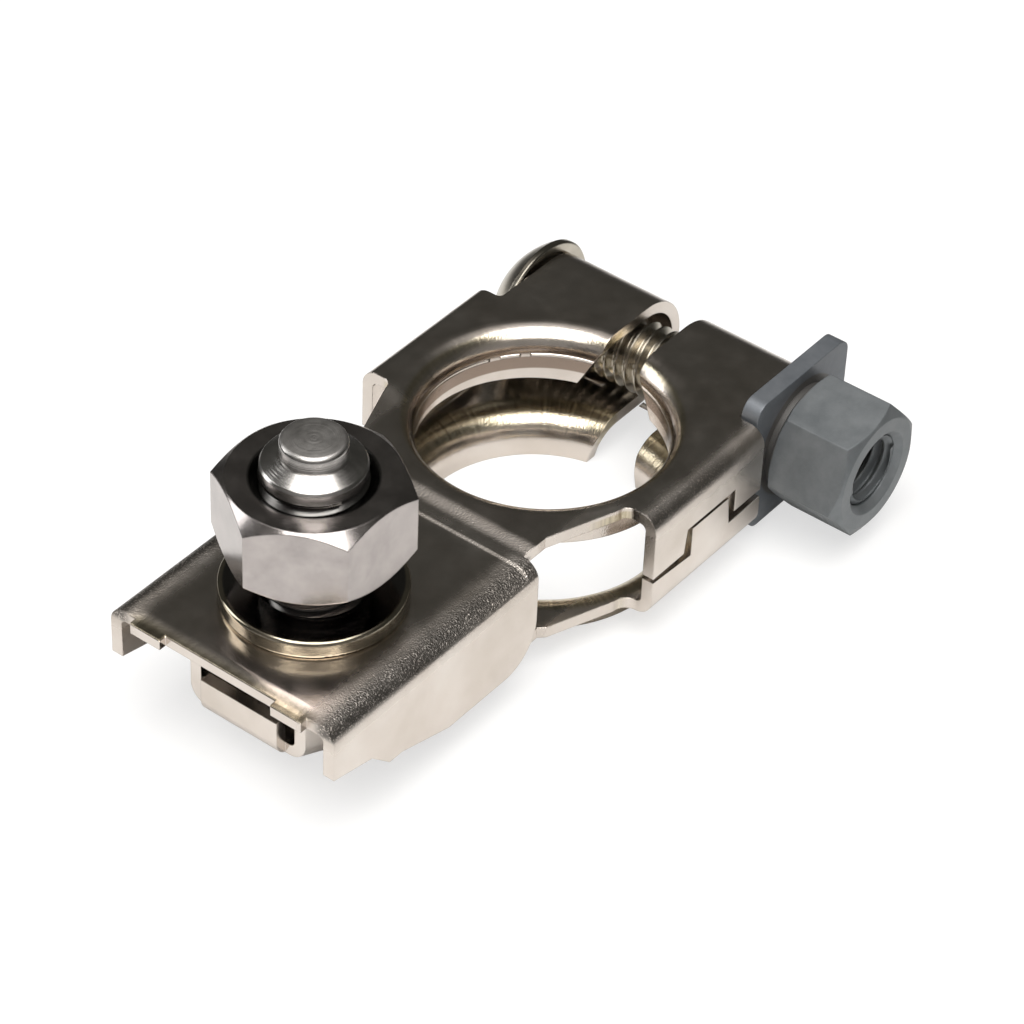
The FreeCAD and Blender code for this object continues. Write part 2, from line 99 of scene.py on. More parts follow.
def ramp(tree, source, stops):
    """Colours, or greys where a stop has one number, along a value."""
    made = node(tree, "ShaderNodeValToRGB", {"Fac": source})
    elements = made.color_ramp.elements
    while len(elements) > 1:
        elements.remove(elements[-1])
    for index, (position, colour) in enumerate(stops):
        element = elements[0] if index == 0 else elements.new(position)
        element.position = position
        element.color = (*colour, 1) if isinstance(colour, tuple) else (colour, colour, colour, 1)
    return made.outputs["Color"]


def maths(tree, operation, first, second=0.0):
    return node(tree, "ShaderNodeMath", {0: first, 1: second}, operation=operation).outputs[0]


def most(tree, *values):
    top = values[0]
    for value in values[1:]:
        top = maths(tree, "MAXIMUM", top, value)
    return top


def times(tree, *values):
    product = values[0]
    for value in values[1:]:
        product = maths(tree, "MULTIPLY", product, value)
    return product


def total(tree, *values):
    whole = values[0]
    for value in values[1:]:
        whole = maths(tree, "ADD", whole, value)
    return whole


def inverse(tree, value):
    return maths(tree, "SUBTRACT", 1.0, value)


def mixed(tree, share, under, over):
    return node(tree, "ShaderNodeMixRGB", {"Fac": share, "Color1": under, "Color2": over}).outputs[0]


def length_of(tree, first, second):
    return maths(tree, "SQRT", total(tree, times(tree, first, first), times(tree, second, second)))


def step(tree, value, low, high):
    """0 below low, 1 above high and smooth between them."""
    made = node(tree, "ShaderNodeMapRange", {"Value": value, "From Min": low, "From Max": high},
                interpolation_type="SMOOTHSTEP", clamp=True)
    return made.outputs["Result"]


def band(tree, value, middle, inner, outer):
    """1 within inner of the middle, 0 beyond outer and smooth between them."""
    away = maths(tree, "ABSOLUTE", maths(tree, "SUBTRACT", value, middle))
    return inverse(tree, step(tree, away, inner, outer))


def place(tree, stretch=(1, 1, 1)):
    """The object's own coordinates, which are the part's frame in metres."""
    own = node(tree, "ShaderNodeTexCoord").outputs["Object"]
    return node(tree, "ShaderNodeMapping", {"Vector": own, "Scale": stretch}).outputs["Vector"]


def noise(tree, cells, detail=2.0, stretch=(1, 1, 1), rough=0.5):
    """Noise from 0 to 1. cells is in cells a metre."""
    made = node(tree, "ShaderNodeTexNoise", {"Vector": place(tree, stretch), "Scale": cells, "Detail": detail,
                                             "Roughness": rough})
    return made.outputs["Fac"]


def own_axes(tree):
    """The object's own x, y and z, and how far forward a place lies."""
    x, y, z = node(tree, "ShaderNodeSeparateXYZ", {"Vector": place(tree)}).outputs
    return x, y, z, times(tree, y, -1.0)


def axis_distance(tree, centre, across, along):
    """Distance from an axis and place along it. across and along are the indices of its axes."""
    moved = node(tree, "ShaderNodeMapping", {"Vector": place(tree), "Location": [-value for value in centre]})
    axes = node(tree, "ShaderNodeSeparateXYZ", {"Vector": moved.outputs["Vector"]}).outputs
    return length_of(tree, axes[across[0]], axes[across[1]]), axes[along]


# The rings' noise moves on with the radius, and this share as fast along the axis
RING_SLANT = 0.8


def rings(tree, centre, across, along, cells):
    """Noise in fine rings around an axis."""
    radius, height = axis_distance(tree, centre, across, along)
    travel = total(tree, radius, times(tree, height, RING_SLANT))
    made = node(tree, "ShaderNodeTexNoise", {"W": travel, "Scale": cells, "Detail": 3.0, "Roughness": 0.6},
                noise_dimensions="1D")
    return made.outputs["Fac"]


def bump(tree, normal, height, distance, strength=1.0):
    """The normal with a relief added, whose height, from 0 to 1, counts times the distance."""
    inputs = {"Height": height, "Distance": distance, "Strength": strength, "Normal": normal}
    return node(tree, "ShaderNodeBump", inputs).outputs["Normal"]


def soft_edges(tree, radius):
    """The normal with edges rounded by the radius."""
    return node(tree, "ShaderNodeBevel", {"Radius": radius}, samples=4).outputs["Normal"]


def finish_material(material, tree, colour, roughness, normal, metallic=1.0):
    inputs = {"Base Color": colour, "Metallic": metallic, "Roughness": roughness, "Normal": normal}
    shader = node(tree, "ShaderNodeBsdfPrincipled", inputs)
    node(tree, "ShaderNodeOutputMaterial", {"Surface": shader.outputs["BSDF"]})
    return material


# Radii of the softened edges, and the distance of the fasteners' fine relief
EDGE = 0.12 * MM
NUT_EDGE = 1.5 * EDGE
FINE_RELIEF = 0.02 * MM


# The plated sheet

# Painted shade: the colour of the dark strips on the upper collar's inner wall, beside the roll's step
SHADE_STRIP_COLOUR = (0.31, 0.245, 0.20)
PIT = (0.12, 0.11, 0.10)
NICKEL = ((0.30, (0.62, 0.56, 0.50)), (0.52, (0.70, 0.64, 0.585)), (0.75, (0.76, 0.71, 0.66)))
GOLDEN = ((0.30, (0.40, 0.34, 0.23)), (0.70, (0.66, 0.59, 0.43)))
GOLDEN_SHARE = 0.9

# The borders of the sheet's zones: where each begins and where it is complete
FOLD_HEIGHT = (9.8 * MM, 11.0 * MM)
PIT_HEIGHT = (10.9 * MM, 11.5 * MM)
PLATE_FORWARD = (13.5 * MM, 14.5 * MM)
PLATE_GRAIN_SIDE = (7.0 * MM, 9.2 * MM)
PLATE_PIT_SIDE = (8.4 * MM, 9.5 * MM)
EAR_GRAIN_SIDE = (12.0 * MM, 13.2 * MM)
EAR_PIT_SIDE = (12.2 * MM, 13.3 * MM)
WAIST_SIDE = (8.8 * MM, 9.6 * MM)
RIM_FORWARD = (36.0 * MM, 37.5 * MM)
RIM_HEIGHT = (12.0 * MM, 12.15 * MM)
RIM_END_SIDE = (7.5 * MM, 9.0 * MM)
WALL_END_RADIUS = (10.3 * MM, 10.6 * MM)
NECK_HEIGHT = (11.0 * MM, 12.0 * MM)
PLATE_RISE_FORWARD = (15.6 * MM, 36.0 * MM)

# The middle of a zone, how far from it the zone is full and where it has ended
EAR_PIT_PLACE = (0.0, 3.5 * MM, 7.0 * MM)
WAIST_PLACE = (-8.5 * MM, 3.0 * MM, 4.5 * MM)
NECK_PLACE = (-13.9 * MM, 1.2 * MM, 1.9 * MM)
ROLL_RADIUS = (11.6 * MM, 0.8 * MM, 1.5 * MM)
UPPER_ROLL_HEIGHT = (11.1 * MM, 0.7 * MM, 0.95 * MM)
LOWER_ROLL_HEIGHT = (2.6 * MM, 0.9 * MM, 1.5 * MM)
MARK_HEIGHT = (10.15 * MM, 0.06 * MM, 0.20 * MM)
# Where the painted shade lies on the collar's inner wall, under and above the roll's step
SHADE_STRIP_UNDER_HEIGHT = (9.45 * MM, 0.50 * MM, 0.65 * MM)
SHADE_STRIP_ABOVE_HEIGHT = (10.65 * MM, 0.22 * MM, 0.42 * MM)
SHADE_STRIP_ABOVE = 0.9
MARK_GAP_ANGLES = ((math.radians(150), 0.035, 0.06), (math.radians(135.5), 0.03, 0.055))

# How much grain and how many pits a zone has
EAR_GRAIN = 0.6
WAIST_GRAIN = 0.4
NECK_GRAIN = 0.2
ROLL_GRAIN = 0.28
FLAT_GRAIN = 0.06
PLATE_PITS = 0.9
EAR_PITS = 0.6

# Heights of the relief
GRAIN_RELIEF = 0.045 * MM
CLOUD_RELIEF = 0.10 * MM
RIM_DROOP = 0.20 * MM
MARK_RELIEF = 0.12 * MM

SHEET_ROUGHNESS = 0.10
CLOUD_ROUGHNESS = 0.22
GRAIN_ROUGHNESS = 0.22

# The noise above which there is no pit, and below which a pit is full
PIT_LEVELS = (0.70, 0.52)

# Scratches a radian round the ring
DRAWN_LINES = 45.0

# The steps pressed across the neck: where each starts and ends, and its depth in millimetres
NECK_STEPS = (((12.2 * MM, 14.1 * MM), 0.39), ((14.9 * MM, 15.4 * MM), 0.11))


def grain(tree):
    """The grain of the stretched sheet, at the plate's and the right ear's folds, the waist and the neck."""
    x, y, z, forward = own_axes(tree)
    side = maths(tree, "ABSOLUTE", x)
    high = step(tree, z, *FOLD_HEIGHT)
    plate = times(tree, step(tree, forward, *PLATE_FORWARD), high, step(tree, side, *PLATE_GRAIN_SIDE))
    ear = times(tree, high, step(tree, x, *EAR_GRAIN_SIDE), EAR_GRAIN)
    waist = times(tree, band(tree, y, *WAIST_PLACE), step(tree, side, *WAIST_SIDE), WAIST_GRAIN)
    neck = times(tree, band(tree, y, *NECK_PLACE), high, NECK_GRAIN)
    return most(tree, plate, ear, waist, neck)


def pits(tree):
    """The small dark pits in the plate's folds and the right ear's fold."""
    x, y, z, forward = own_axes(tree)
    side = maths(tree, "ABSOLUTE", x)
    plate = times(tree, step(tree, forward, *PLATE_FORWARD), step(tree, side, *PLATE_PIT_SIDE))
    ear = times(tree, step(tree, x, *EAR_PIT_SIDE), band(tree, y, *EAR_PIT_PLACE), EAR_PITS)
    zone = times(tree, most(tree, plate, ear), step(tree, z, *PIT_HEIGHT))
    spots = step(tree, noise(tree, cells=7000, detail=3.0), *PIT_LEVELS)
    return times(tree, spots, zone, PLATE_PITS)


def rolls(tree):
    """The rolls of the two collars."""
    x, y, z, _ = own_axes(tree)
    heights = most(tree, band(tree, z, *UPPER_ROLL_HEIGHT), band(tree, z, *LOWER_ROLL_HEIGHT))
    return times(tree, band(tree, length_of(tree, x, y), *ROLL_RADIUS), heights)


def front_rim(tree):
    """The stud plate's front rim, which droops a little."""
    x, _, z, forward = own_axes(tree)
    ends = step(tree, maths(tree, "ABSOLUTE", x), *RIM_END_SIDE)
    return times(tree, step(tree, forward, *RIM_FORWARD), step(tree, z, *RIM_HEIGHT), inverse(tree, ends))


def wall_mark_and_shade(tree):
    """On the upper collar's inner wall: the roll's step with two gaps, and the strips of painted shade beside
    it.
    """
    x, y, z, _ = own_axes(tree)
    wall = inverse(tree, step(tree, length_of(tree, x, y), *WALL_END_RADIUS))
    azimuth = maths(tree, "ARCTAN2", y, x)
    gaps = most(tree, *[band(tree, azimuth, *gap) for gap in MARK_GAP_ANGLES])
    mark = times(tree, wall, band(tree, z, *MARK_HEIGHT), inverse(tree, gaps))
    under = band(tree, z, *SHADE_STRIP_UNDER_HEIGHT)
    above = times(tree, band(tree, z, *SHADE_STRIP_ABOVE_HEIGHT), SHADE_STRIP_ABOVE)
    return mark, times(tree, wall, most(tree, under, above))


def neck_offset(tree):
    """How many millimetres the top face lies below the ring's. It drops in steps across the neck and rises
    again slowly towards the front."""
    _, _, z, forward = own_axes(tree)
    depth = total(tree, *[times(tree, step(tree, forward, *reach), deep) for reach, deep in NECK_STEPS])
    before_rise = inverse(tree, step(tree, forward, *PLATE_RISE_FORWARD))
    return times(tree, depth, before_rise, step(tree, z, *NECK_HEIGHT))


def drawn(tree):
    """Noise in fine scratches down the ring's walls."""
    x, y, _, _ = own_axes(tree)
    azimuth = maths(tree, "ARCTAN2", y, x)
    made = node(tree, "ShaderNodeTexNoise", {"W": azimuth, "Scale": DRAWN_LINES, "Detail": 3.0},
                noise_dimensions="1D")
    return made.outputs["Fac"]


def sheet_colour(tree, golden_zone, shade_strips):
    """Warm nickel, golden in its zone, with painted shade in the strips, and dark in the pits."""
    plain = ramp(tree, noise(tree, cells=160, detail=4.0, rough=0.6), NICKEL)
    golden = ramp(tree, drawn(tree), GOLDEN)
    colour = mixed(tree, times(tree, golden_zone, GOLDEN_SHARE), plain, golden)
    # Painted shade in the strips
    colour = mixed(tree, shade_strips, colour, SHADE_STRIP_COLOUR)
    return mixed(tree, pits(tree), colour, PIT)


def plated_sheet():
    """Nickel plating on pressed sheet: smooth on the flats, grainy where the sheet was stretched."""
    material, tree = new_material("nickel_plate_look")
    grainy, rolled, rim = grain(tree), rolls(tree), front_rim(tree)
    mark, shade_strips = wall_mark_and_shade(tree)
    clouds = noise(tree, cells=420, detail=4.0, rough=0.6)
    amount = total(tree, most(tree, grainy, times(tree, rolled, ROLL_GRAIN)), FLAT_GRAIN)
    grains = times(tree, noise(tree, cells=7500, detail=1.0), amount)
    normal = bump(tree, soft_edges(tree, EDGE), clouds, CLOUD_RELIEF, strength=0.25)
    normal = bump(tree, normal, inverse(tree, rim), RIM_DROOP)
    normal = bump(tree, normal, mark, MARK_RELIEF)
    normal = bump(tree, normal, inverse(tree, neck_offset(tree)), MM)
    normal = bump(tree, normal, grains, GRAIN_RELIEF)
    roughness = total(tree, times(tree, clouds, CLOUD_ROUGHNESS), SHEET_ROUGHNESS,
                      times(tree, grainy, GRAIN_ROUGHNESS))
    colour = sheet_colour(tree, most(tree, rolled, rim), shade_strips)
    return finish_material(material, tree, colour, roughness, normal)


# The fasteners' finishes

STUD_PLACE = -27.0 * MM
BOLT_PLACE = (15.8 * MM, 7.4 * MM)

# The rings left by turning: their centre, the two axes across them and the axis along
STUD_RINGS = ((0.0, STUD_PLACE, 0.0), (0, 1), 2)
BOLT_RINGS = ((0.0, *BOLT_PLACE), (1, 2), 0)

# Painted shade: where the metal lies deep in shade its colour is painted dark, up to a radius or a place
# along the axis
SHADE_PAINT = (0.14, 0.135, 0.13)
SHADE_PAINT_BORDER = 0.2 * MM
NUT_MOUTH = 4.65 * MM
DISC_FACE = 6.5 * MM
STUD_THREAD_TOP = 23.5 * MM
WASHER_SEAT = 5.1 * MM
NUT_BASE = 13.95 * MM

# The stud's end face is rougher than the rest of it
STUD_FACE = 26.6 * MM
MATT_BORDER = 0.1 * MM
MATT_ROUGHNESS = 0.17

# How much noise adds to a fastener's roughness
UNEVEN_ROUGHNESS = 0.15


def painted_in_shade(tree, colour, axis, across, along):
    """The colour, with shade painted dark within the radius across and below the place along the axis, where
    given.
    """
    radius, travel = axis_distance(tree, *axis)
    for value, limit in ((radius, across), (travel, along)):
        if limit is not None:
            bright = step(tree, value, limit, limit + SHADE_PAINT_BORDER)
            colour = mixed(tree, bright, SHADE_PAINT, colour)
    return colour


def turned_steel(name, light, dark, ringed, cells, rough, depth, shade_limits=None, matt=None):
    """Bright turned steel. ringed gives the centre and axes of its fine rings, the shade limits where
    its shade is painted dark, and matt the place along the axis beyond which it is rougher."""
    material, tree = new_material(name)
    fine = rings(tree, *ringed, cells)
    colour = ramp(tree, noise(tree, cells=500, detail=3.0), [(0.3, dark), (0.7, light)])
    # Painted shade: the colour is painted dark within the shade limits
    if shade_limits:
        colour = painted_in_shade(tree, colour, ringed, *shade_limits)
    normal = bump(tree, soft_edges(tree, EDGE), fine, FINE_RELIEF, strength=depth)
    uneven = noise(tree, cells=1800, detail=3.0)
    roughness = total(tree, times(tree, uneven, UNEVEN_ROUGHNESS), rough)
    if matt:
        travel = axis_distance(tree, *ringed)[1]
        beyond = step(tree, travel, matt, matt + MATT_BORDER)
        roughness = total(tree, roughness, times(tree, beyond, MATT_ROUGHNESS))
    return finish_material(material, tree, colour, roughness, normal)


def stainless_nut():
    """Bright stainless steel, drawn along its sides."""
    material, tree = new_material("nut_steel_look")
    streaks = noise(tree, cells=1500, detail=3.0, stretch=(1, 1, 0.06), rough=0.6)
    clouds = noise(tree, cells=500, detail=4.0, rough=0.6)
    colour = ramp(tree, clouds, [(0.3, (0.39, 0.36, 0.35)), (0.7, (0.52, 0.48, 0.465))])
    # Painted shade: the nut's bore and its mouth are painted dark
    colour = painted_in_shade(tree, colour, STUD_RINGS, NUT_MOUTH, None)
    relief = total(tree, times(tree, streaks, 0.3), clouds)
    normal = bump(tree, soft_edges(tree, NUT_EDGE), relief, FINE_RELIEF, strength=0.5)
    roughness = total(tree, times(tree, clouds, UNEVEN_ROUGHNESS), 0.12)
    return finish_material(material, tree, colour, roughness, normal)


def zinc_flake(name, light, dark, shade_limits):
    """Matt grey coating of zinc flakes, a little cloudy. The shade limits give where its shade is painted
    dark.
    """
    material, tree = new_material(name)
    clouds = noise(tree, cells=420, detail=5.0, rough=0.65)
    flakes = noise(tree, cells=6000, detail=2.0, rough=0.6)
    colour = ramp(tree, clouds, [(0.32, dark), (0.68, light)])
    # Painted shade: the colour is painted dark within the shade limits
    colour = painted_in_shade(tree, colour, BOLT_RINGS, *shade_limits)
    relief = total(tree, times(tree, flakes, 0.5), clouds)
    normal = bump(tree, soft_edges(tree, NUT_EDGE), relief, FINE_RELIEF, strength=0.7)
    roughness = total(tree, times(tree, clouds, UNEVEN_ROUGHNESS), 0.38)
    return finish_material(material, tree, colour, roughness, normal, metallic=0.55)


def wear(obj, material):
    obj.data.materials.clear()
    obj.data.materials.append(material)


# Meshes made of rings of points around the Z axis

ROUND = 72


def circle_row(radius, height):
    angles = [2 * math.pi * k / ROUND for k in range(ROUND)]
    return [(radius * math.cos(angle), radius * math.sin(angle), height) for angle in angles]


def turned(name, outline):
    """A solid of revolution from (radius, height) points in metres."""
    rows = [circle_row(radius, height) for radius, height in outline]
    points = [point for row in rows for point in row]
    faces = [tuple(reversed(range(ROUND))), tuple(range((len(rows) - 1) * ROUND, len(rows) * ROUND))]
    for row in range(len(rows) - 1):
        for column in range(ROUND):
            following = (column + 1) % ROUND
            low, high = row * ROUND, (row + 1) * ROUND
            faces.append((low + column, low + following, high + following, high + column))
    mesh = bpy.data.meshes.new(name)
    mesh.from_pydata(points, [], faces)
    return mesh


def box_mesh(name, low, high):
    corners = [(x, y, z) for x in (low[0], high[0]) for y in (low[1], high[1]) for z in (low[2], high[2])]
    faces = [(0, 1, 3, 2), (4, 6, 7, 5), (0, 4, 5, 1), (2, 3, 7, 6), (0, 2, 6, 4), (1, 5, 7, 3)]
    mesh = bpy.data.meshes.new(name)
    mesh.from_pydata(corners, [], faces)
    return mesh


# The thread's outline over one pitch: shares of the pitch, and of the thread's depth
THREAD_SHAPE = ((0.0, 0.0), (0.06, 0.0), (0.44, 1.0), (0.56, 1.0), (0.94, 0.0))


def threaded(name, start, end, crest, depth, pitch, limit=None):
    """A right-handed screw thread around Z from start to end. limit(height) is the most its radius can be."""
    turns = int(math.ceil((end - start) / pitch)) + 2
    rows = []
    for turn in range(turns):
        for share, rise in THREAD_SHAPE:
            row = []
            for k in range(ROUND):
                angle = 2 * math.pi * k / ROUND
                height = min(max(start + pitch * (turn - 1 + share + k / ROUND), start), end)
                radius = crest - depth * (1 - rise)
                if limit:
                    radius = min(radius, limit(height))
                row.append((radius * math.cos(angle), radius * math.sin(angle), height))
            rows.append(row)
    return helix_mesh(name, rows, start, end)


def helix_mesh(name, rows, start, end):
    """Rows that climb by one pitch a turn, so that the last column joins the row a whole turn further on."""
    turn_rows = len(THREAD_SHAPE)
    points = [point for row in rows for point in row]
    faces = []
    for row in range(len(rows) - 1):
        for column in range(ROUND):
            if column + 1 < ROUND:
                around = [(row, column), (row, column + 1), (row + 1, column + 1), (row + 1, column)]
            elif row + 1 + turn_rows < len(rows):
                around = [(row, column), (row + turn_rows, 0), (row + 1 + turn_rows, 0), (row + 1, column)]
            else:
                continue
            corners = [r * ROUND + c for r, c in around]
            heights = {points[corner][2] for corner in corners}
            if heights != {start} and heights != {end}:
                faces.append(corners)
    mesh = bpy.data.meshes.new(name)
    mesh.from_pydata(points, [], faces)
    return mesh


def joined(name, meshes, lay, smooth_below=25):
    """One object from several meshes, laid in the part's frame."""
    points, faces = [], []
    for mesh in meshes:
        base = len(points)
        points += [lay @ vertex.co for vertex in mesh.vertices]
        faces += [[base + index for index in polygon.vertices] for polygon in mesh.polygons]
        bpy.data.meshes.remove(mesh)
    whole = bpy.data.meshes.new(name)
    whole.from_pydata(points, [], faces)
    whole.validate()
    whole.shade_smooth()
    whole.set_sharp_from_angle(angle=math.radians(smooth_below))
    made = bpy.data.objects.new(name, whole)
    bpy.context.scene.collection.objects.link(made)
    return made


def quarter_round(radius, height, edge, steps=4):
    """Outline points of a rounded top edge."""
    angles = [math.pi / 2 * k / steps for k in range(steps + 1)]
    return [(radius - edge * (1 - math.cos(a)), height - edge * (1 - math.sin(a))) for a in angles]


# The stud, the cross bolt and the bolt's nut, with their threads

SHEET = 1.0 * MM
STUD_PITCH = 1.25 * MM
STUD_THREAD_DEPTH = 0.70 * MM
STUD_RADIUS = 4.0 * MM
STUD_PLAIN_RADIUS = 3.9 * MM
STUD_PLAIN_HEIGHT = 1.1 * MM
BAND_EDGE = 0.1 * MM
THREAD_UNDER_BAND = 0.4 * MM
CONE_CORNER = (0.15 * MM, 0.2 * MM)
DOG_RADIUS = 2.5 * MM
DOG_HEIGHT = 1.4 * MM
DOG_EDGE = 0.40 * MM
CONE_HEIGHT = 0.6 * MM
CONE_RADIUS = 2.6 * MM
SHOULDER_RADIUS = 5.4 * MM
STUD_HEAD_HALF = (4.0 * MM, 4.3 * MM)
STUD_HEAD_HEIGHT = 6.5 * MM


def stud():
    """The stud: bar head in the pan, shoulder, thread, plain band, cone and dog point."""
    low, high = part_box("terminal_stud")
    plate_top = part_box("stud_washer")[0].z
    plate_under = plate_top - SHEET
    thread_end = high.z - DOG_HEIGHT - CONE_HEIGHT
    plain_start = thread_end - STUD_PLAIN_HEIGHT
    head_top = low.z + STUD_HEAD_HEIGHT
    side, front = STUD_HEAD_HALF
    head = box_mesh("head", (-side, -front, low.z), (side, front, head_top))
    shoulder = turned("shoulder", [(SHOULDER_RADIUS, head_top), (SHOULDER_RADIUS, plate_under)])
    thread = threaded("thread", plate_under, plain_start, STUD_RADIUS, STUD_THREAD_DEPTH, STUD_PITCH)
    cone_top = thread_end + CONE_HEIGHT
    inwards, below = CONE_CORNER
    end = turned("end", [
        (STUD_RADIUS - STUD_THREAD_DEPTH, plain_start - THREAD_UNDER_BAND),
        (STUD_PLAIN_RADIUS, plain_start + BAND_EDGE), (STUD_PLAIN_RADIUS, thread_end - below),
        (STUD_PLAIN_RADIUS - inwards, thread_end), (CONE_RADIUS, cone_top),
        (DOG_RADIUS, cone_top)] + quarter_round(DOG_RADIUS, high.z, DOG_EDGE))
    made = joined("threaded_stud", [head, shoulder, thread, end], Matrix.Translation((0, STUD_PLACE, 0)))
    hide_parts("terminal_stud")
    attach(made, "clamp_frame")
    return made


BOLT_PITCH = 1.0 * MM
BOLT_RADIUS = 3.0 * MM
BOLT_THREAD_DEPTH = 0.58 * MM
BOLT_CORE_RADIUS = 2.35 * MM
HEAD_RADIUS = 5.7 * MM
HEAD_RIM = 0.5 * MM
HEAD_HEIGHT = 3.6 * MM
HEAD_EDGE = 0.15 * MM
TIP_CHAMFER = 0.5 * MM


def dome(radius, height, steps=10):
    """Outline points of a dome from near its middle to its rim."""
    ball = (radius ** 2 + height ** 2) / (2 * height)
    widest = math.asin(radius / ball)
    angles = [widest * max(k, 0.02) / steps for k in range(steps + 1)]
    return [(ball * math.sin(angle), ball * (1 - math.cos(angle))) for angle in angles]


def along_bolt():
    """Lays a mesh made along Z on the bolt's axis, from the top of the bolt's head."""
    low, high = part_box("clamp_bolt")
    middle = (low + high) / 2
    return Matrix.Translation((low.x, middle.y, middle.z)) @ Matrix.Rotation(math.radians(90), 4, "Y")


def bolt():
    """The cross bolt: domed head, thread and chamfered end."""
    low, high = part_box("clamp_bolt")
    length = high.x - low.x
    head = turned("head", dome(HEAD_RADIUS, HEAD_HEIGHT - HEAD_RIM) + [
        (HEAD_RADIUS, HEAD_HEIGHT - HEAD_EDGE), (HEAD_RADIUS - HEAD_EDGE, HEAD_HEIGHT),
        (BOLT_CORE_RADIUS, HEAD_HEIGHT)])
    core = turned("core", [(BOLT_CORE_RADIUS, HEAD_HEIGHT - HEAD_EDGE), (BOLT_CORE_RADIUS, length)])
    thread = threaded("thread", HEAD_HEIGHT, length, BOLT_RADIUS, BOLT_THREAD_DEPTH, BOLT_PITCH,
                      lambda height: BOLT_RADIUS - max(0, height - length + TIP_CHAMFER))
    made = joined("threaded_bolt", [head, core, thread], along_bolt())
    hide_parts("clamp_bolt")
    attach(made, "clamp_frame")
    return made


NUT_BORE_RADIUS = 3.03 * MM
NUT_THREAD_DEPTH = 0.50 * MM
NUT_THREAD_BACK = 0.45 * MM
NUT_THREAD_GAP = 0.1 * MM


def nut_thread():
    """The bolt nut's thread ahead of the bolt's end."""
    bolt_low, bolt_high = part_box("clamp_bolt")
    nut_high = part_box("clamp_nut")[1]
    start = bolt_high.x - bolt_low.x + NUT_THREAD_GAP
    end = nut_high.x - bolt_low.x - NUT_THREAD_BACK
    ridges = threaded("ridges", start, end, NUT_BORE_RADIUS, NUT_THREAD_DEPTH, BOLT_PITCH)
    ridges.flip_normals()
    made = joined("clamp_nut_thread", [ridges], along_bolt())
    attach(made, "clamp_nut_rotor")
    return made


# Light, floor and sky

DARK_SKY = (0.052, 0.051, 0.046)
OVERHEAD_SKY = (0.62, 0.60, 0.58)
FRONT_SKY = (0.26, 0.25, 0.24)
TOWARDS_CAMERA = (0.595, -0.804, 0.0)
FRONT_FADE = (0.15, 0.75)
OVERHEAD_FADE = (0.80, 0.97)
FLOOR_HALF = 3.0
FLOOR_BELOW = 0.02 * MM
FLOOR_MIDDLE = (0.0, -0.015, 0.0)
# Painted light: the floor's colour in reflections, bright near the object and dark far off
FLOOR_REFLECTED = ((0.055, 0.84), (0.075, 0.30), (0.12, 0.07), (0.80, 0.06))
FLOOR_SEEN = ((0.3, 0.37), (0.7, 0.39))
FLOOR_GLOW = 0.65


def stage_floor():
    """A white floor. In a reflection its colour is a painted pool of light, bright near the object and dark
    far off.
    """
    mesh = bpy.data.meshes.new("floor")
    corners = [(x * FLOOR_HALF, y * FLOOR_HALF, 0) for x, y in ((-1, -1), (1, -1), (1, 1), (-1, 1))]
    mesh.from_pydata(corners, [], [(0, 1, 2, 3)])
    floor = bpy.data.objects.new("floor", mesh)
    bpy.context.scene.collection.objects.link(floor)
    floor.location.z = -FLOOR_BELOW
    material, tree = new_material("floor_white")
    away = axis_distance(tree, FLOOR_MIDDLE, (0, 1), 2)[0]
    reflected = node(tree, "ShaderNodeBsdfDiffuse", {"Color": ramp(tree, away, FLOOR_REFLECTED)})
    paint = node(tree, "ShaderNodeBsdfDiffuse", {"Color": ramp(tree, noise(tree, cells=3), FLOOR_SEEN)})
    glow = node(tree, "ShaderNodeEmission", {"Color": (1.0, 1.0, 1.0), "Strength": FLOOR_GLOW})
    seen = node(tree, "ShaderNodeAddShader", {0: paint.outputs[0], 1: glow.outputs[0]})
    by_camera = node(tree, "ShaderNodeLightPath").outputs["Is Camera Ray"]
    either = node(tree, "ShaderNodeMixShader", {0: by_camera, 1: reflected.outputs[0], 2: seen.outputs[0]})
    node(tree, "ShaderNodeOutputMaterial", {"Surface": either.outputs[0]})
    wear(floor, material)


def sky():
    """A dark room with light overhead and behind the camera. The camera itself sees white."""
    world = bpy.data.worlds.new("sky")
    bpy.context.scene.world = world
    world.use_nodes = True
    tree = world.node_tree
    tree.nodes.clear()
    direction = node(tree, "ShaderNodeTexCoord").outputs["Generated"]
    height = node(tree, "ShaderNodeSeparateXYZ", {"Vector": direction}).outputs["Z"]
    facing = node(tree, "ShaderNodeVectorMath", {0: direction, 1: TOWARDS_CAMERA}, operation="DOT_PRODUCT")
    walls = mixed(tree, step(tree, facing.outputs["Value"], *FRONT_FADE), DARK_SKY, FRONT_SKY)
    room = mixed(tree, step(tree, height, *OVERHEAD_FADE), walls, OVERHEAD_SKY)
    light = node(tree, "ShaderNodeBackground", {"Color": room, "Strength": 1.0})
    white = node(tree, "ShaderNodeBackground", {"Color": (1.0, 1.0, 1.0), "Strength": 1.0})
    by_camera = node(tree, "ShaderNodeLightPath").outputs["Is Camera Ray"]
    either = node(tree, "ShaderNodeMixShader", {0: by_camera, 1: light.outputs[0], 2: white.outputs[0]})
    node(tree, "ShaderNodeOutputWorld", {"Surface": either.outputs[0]})


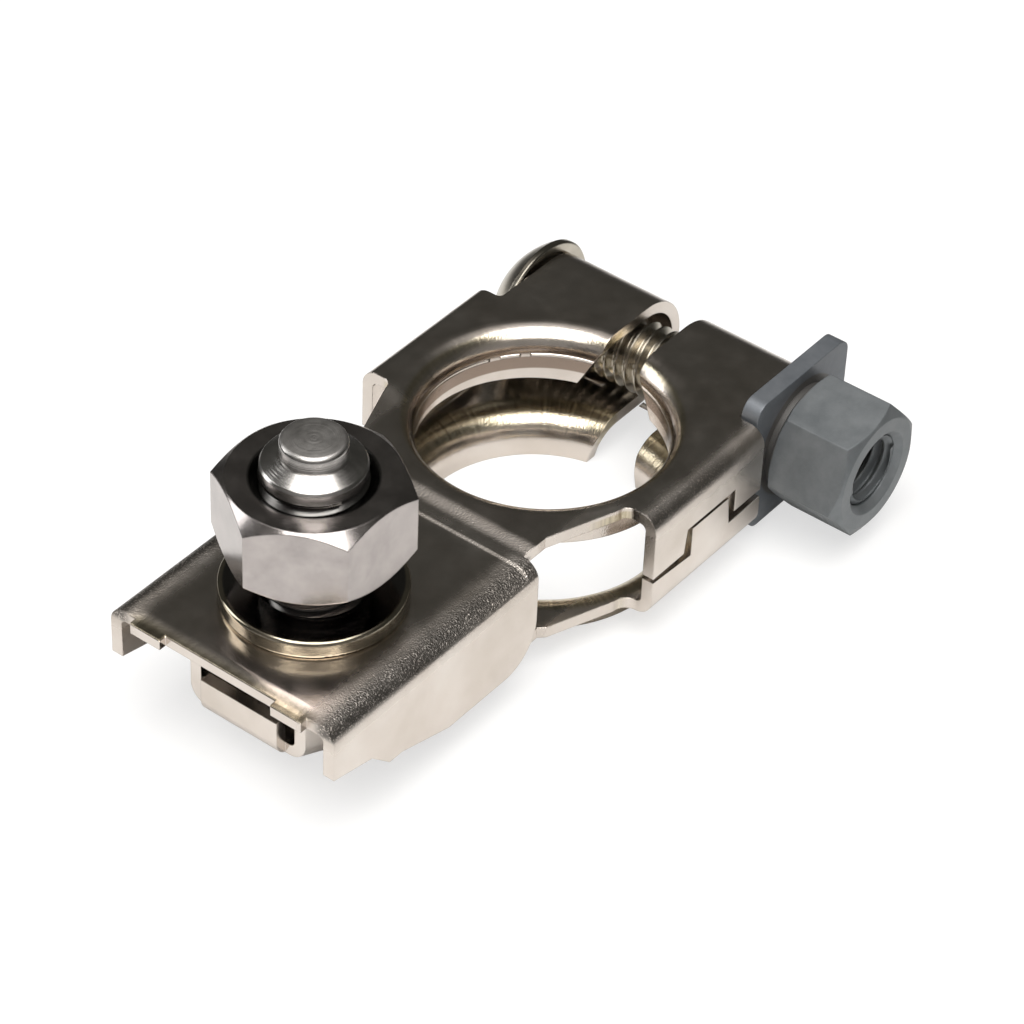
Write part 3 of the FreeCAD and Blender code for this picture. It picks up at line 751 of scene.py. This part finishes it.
def softbox(name, at, towards, size, power, colour=(1, 1, 1)):
    data = bpy.data.lights.new(name, "AREA")
    data.shape = "RECTANGLE"
    data.size, data.size_y = size
    data.energy = power
    data.color = colour
    lamp = bpy.data.objects.new(name, data)
    bpy.context.scene.collection.objects.link(lamp)
    lamp.location = at
    lamp.rotation_euler = (Vector(towards) - Vector(at)).to_track_quat("-Z", "Y").to_euler()


def lights():
    softbox("overhead", at=(0.14, -0.19, 0.66), towards=(0, -0.01, 0), size=(0.60, 0.60), power=6.0,
            colour=(1.0, 0.985, 0.96))
    softbox("left_strip", at=(-0.55, -0.30, 0.30), towards=(0, 0, 0), size=(0.25, 0.5), power=1.2)


# Putting it together

def dress():
    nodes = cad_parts
    # Painted shade: the long nut's base, the washer's seat, the disc's face under the stud's nut and the
    # stud's thread are painted dark
    zinc_nut = zinc_flake("zinc_flake_nut_look", light=(0.225, 0.24, 0.25), dark=(0.165, 0.18, 0.19),
                          shade_limits=(None, NUT_BASE))
    zinc_washer = zinc_flake("zinc_flake_washer_look", light=(0.22, 0.235, 0.255), dark=(0.165, 0.18, 0.20),
                             shade_limits=(WASHER_SEAT, None))
    disc_steel = turned_steel("disc_steel_look", light=(0.52, 0.47, 0.37), dark=(0.36, 0.32, 0.25),
                              ringed=STUD_RINGS, cells=9000, rough=0.04, depth=0.10, shade_limits=(DISC_FACE, None))
    stud_steel = turned_steel("stud_steel_look", light=(0.62, 0.60, 0.58), dark=(0.40, 0.385, 0.37),
                              ringed=STUD_RINGS, cells=4500, rough=0.16, depth=1.0,
                              shade_limits=(None, STUD_THREAD_TOP), matt=STUD_FACE)
    bolt_steel = turned_steel("bolt_steel_look", light=(0.54, 0.50, 0.43), dark=(0.40, 0.37, 0.31),
                              ringed=BOLT_RINGS, cells=9000, rough=0.12, depth=0.08)
    wear(nodes["clamp_body"], plated_sheet())
    wear(nodes["stud_nut"], stainless_nut())
    wear(nodes["clamp_washer"], zinc_washer)
    wear(nodes["clamp_nut"], zinc_nut)
    wear(nut_thread(), zinc_nut)
    wear(nodes["stud_washer"], disc_steel)
    wear(stud(), stud_steel)
    wear(bolt(), bolt_steel)


add_camera()
stage_floor()
sky()
lights()
dress()
bpy.context.scene.view_settings.view_transform = "Standard"
